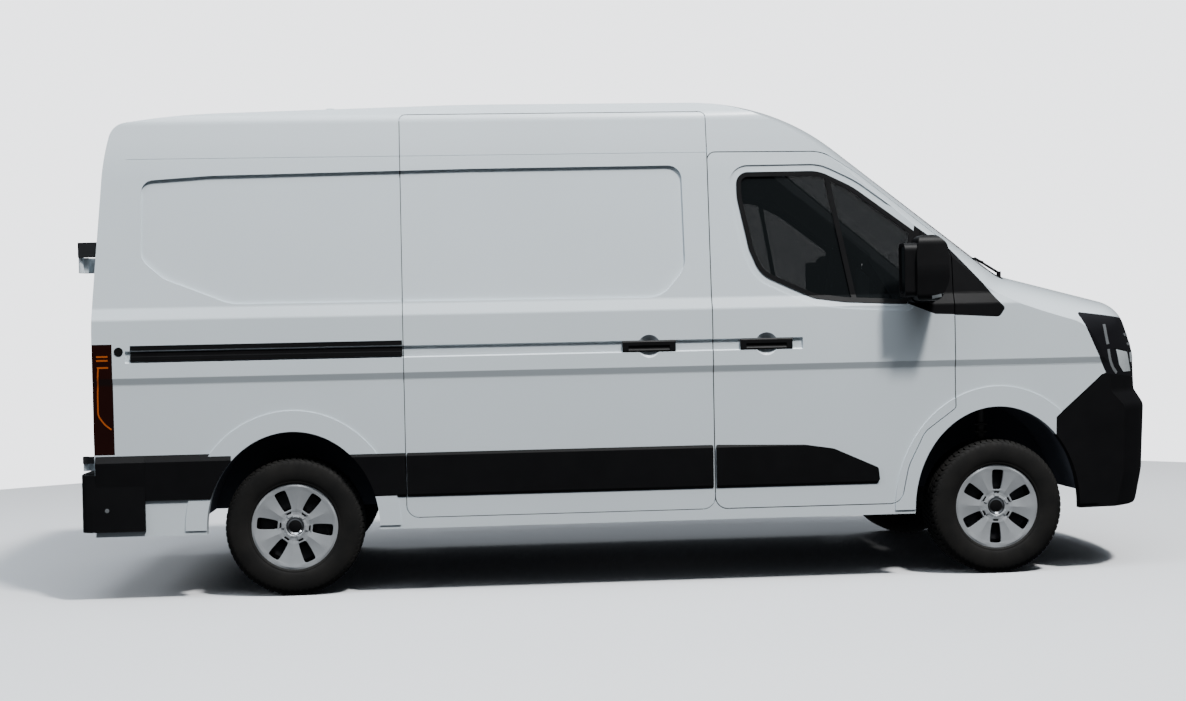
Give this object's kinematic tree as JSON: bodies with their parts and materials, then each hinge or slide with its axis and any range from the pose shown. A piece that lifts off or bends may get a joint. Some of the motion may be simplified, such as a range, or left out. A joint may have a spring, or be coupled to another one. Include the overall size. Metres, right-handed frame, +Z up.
{
  "type": "panel van",
  "caption": "Panel van with a closed load space, sliding side door, hinged rear and front doors, lifting bonnet, steered front wheels and chassis.",
  "frame": {"origin": "on the ground under the middle of the bounding box", "axes": "+X forward, +Y to the van's left, +Z up"},
  "size_m": [5.684, 2.4704, 2.5036],
  "materials": {
    "body_paint": "gloss",
    "black_plastic": "satin",
    "glass": "gloss",
    "tyre": "matte",
    "wheel_silver": "satin",
    "lamp": "gloss",
    "tail_lamp": "gloss",
    "chassis": "matte",
    "floor_metal": "satin",
    "trim_dark": "matte",
    "seat_cloth": "matte",
    "engine_metal": "matte",
    "exhaust_steel": "matte",
    "brake_iron": "matte",
    "ply": "satin"
  },
  "bodies": {
    "van_body": {"side_wall_right": "body_paint", "side_wall_left": "body_paint", "rear_frame": "body_paint", "roof": "body_paint", "cab_frame": "body_paint", "sliding_door": "body_paint", "front_wings": "body_paint", "headlamps": "lamp", "tail_lamps": "tail_lamp", "grille": "black_plastic", "front_bumper": "black_plastic", "windscreen": "glass", "cab_side_right": "body_paint", "cab_side_left": "body_paint", "cowl": "black_plastic", "quarter_trims": "black_plastic", "rear_hinges": "body_paint", "wipers": "black_plastic", "radiator": "engine_metal", "load_floor": "ply", "floor_pan": "floor_metal", "firewall": "body_paint", "wheelhouses": "trim_dark", "bulkhead": "floor_metal", "dashboard": "trim_dark", "seats": "seat_cloth", "rear_bumper": "black_plastic", "side_cladding": "black_plastic", "chassis_rails": "chassis", "front_subframe": "chassis", "engine": "engine_metal", "rear_axle": "chassis", "exhaust": "exhaust_steel", "fuel_tank": "trim_dark"},
    "bonnet_panel": {"bonnet": "body_paint"},
    "front_door_left_body": {"front_door_left": "body_paint", "door_glass_left": "glass", "door_trim_left": "black_plastic"},
    "front_door_right_body": {"front_door_right": "body_paint", "door_glass_right": "glass", "door_trim_right": "black_plastic"},
    "rear_door_left_body": {"rear_door_left": "body_paint"},
    "rear_door_right_body": {"rear_door_right": "body_paint"},
    "knuckle_left_body": {"knuckle_left": "brake_iron"},
    "knuckle_right_body": {"knuckle_right": "brake_iron"},
    "steering_wheel_body": {"steering_wheel": "trim_dark"},
    "wheel_front_left": {"tyre_front_left": "tyre", "rim_front_left": "wheel_silver"},
    "wheel_front_right": {"tyre_front_right": "tyre", "rim_front_right": "wheel_silver"},
    "wheel_rear_left": {"tyre_rear_left": "tyre", "rim_rear_left": "wheel_silver"},
    "wheel_rear_right": {"tyre_rear_right": "tyre", "rim_rear_right": "wheel_silver"}
  },
  "joints": [
    {"name": "bonnet_lift", "type": "hinge", "parent": "van_body", "child": "bonnet_panel", "pos_m": [1.979, 0, 1.553], "axis": [0, -1, 0], "range_deg": [0, 50]},
    {"name": "front_door_left_swing", "type": "hinge", "parent": "van_body", "child": "front_door_left_body", "pos_m": [1.6105, 1.0385, 1], "axis": [0, 0, -1], "range_deg": [0, 70]},
    {"name": "front_door_right_swing", "type": "hinge", "parent": "van_body", "child": "front_door_right_body", "pos_m": [1.6105, -1.0385, 1], "axis": [0, 0, 1], "range_deg": [0, 70]},
    {"name": "rear_door_left_swing", "type": "hinge", "parent": "van_body", "child": "rear_door_left_body", "pos_m": [-2.7725, 0.939, 1.4], "axis": [0, 0, -1], "range_deg": [0, 180]},
    {"name": "rear_door_right_swing", "type": "hinge", "parent": "van_body", "child": "rear_door_right_body", "pos_m": [-2.7725, -0.939, 1.4], "axis": [0, 0, 1], "range_deg": [0, 180]},
    {"name": "steer_left", "type": "hinge", "parent": "van_body", "child": "knuckle_left_body", "pos_m": [1.8325, 0.79, 0.345], "axis": [0, 0, 1], "range_deg": [-35, 35]},
    {"name": "steer_right", "type": "hinge", "parent": "van_body", "child": "knuckle_right_body", "pos_m": [1.8325, -0.79, 0.345], "axis": [0, 0, 1], "range_deg": [-35, 35]},
    {"name": "steering_wheel_turn", "type": "hinge", "parent": "van_body", "child": "steering_wheel_body", "pos_m": [1.0575, 0.45, 1.265], "axis": [-0.8829, 0, 0.4695], "range_deg": [-495, 495]},
    {"name": "wheel_front_left_spin", "type": "hinge", "parent": "knuckle_left_body", "child": "wheel_front_left", "pos_m": [1.8325, 0.875, 0.345], "axis": [0, 1, 0], "continuous": true},
    {"name": "wheel_front_right_spin", "type": "hinge", "parent": "knuckle_right_body", "child": "wheel_front_right", "pos_m": [1.8325, -0.875, 0.345], "axis": [0, 1, 0], "continuous": true},
    {"name": "wheel_rear_left_spin", "type": "hinge", "parent": "van_body", "child": "wheel_rear_left", "pos_m": [-1.7525, 0.865, 0.345], "axis": [0, 1, 0], "continuous": true},
    {"name": "wheel_rear_right_spin", "type": "hinge", "parent": "van_body", "child": "wheel_rear_right", "pos_m": [-1.7525, -0.865, 0.345], "axis": [0, 1, 0], "continuous": true}
  ],
  "couplings": [
    {"joint": "steer_right", "follows": "steer_left", "ratio": 1},
    {"joint": "steering_wheel_turn", "follows": "steer_left", "ratio": 14}
  ]
}
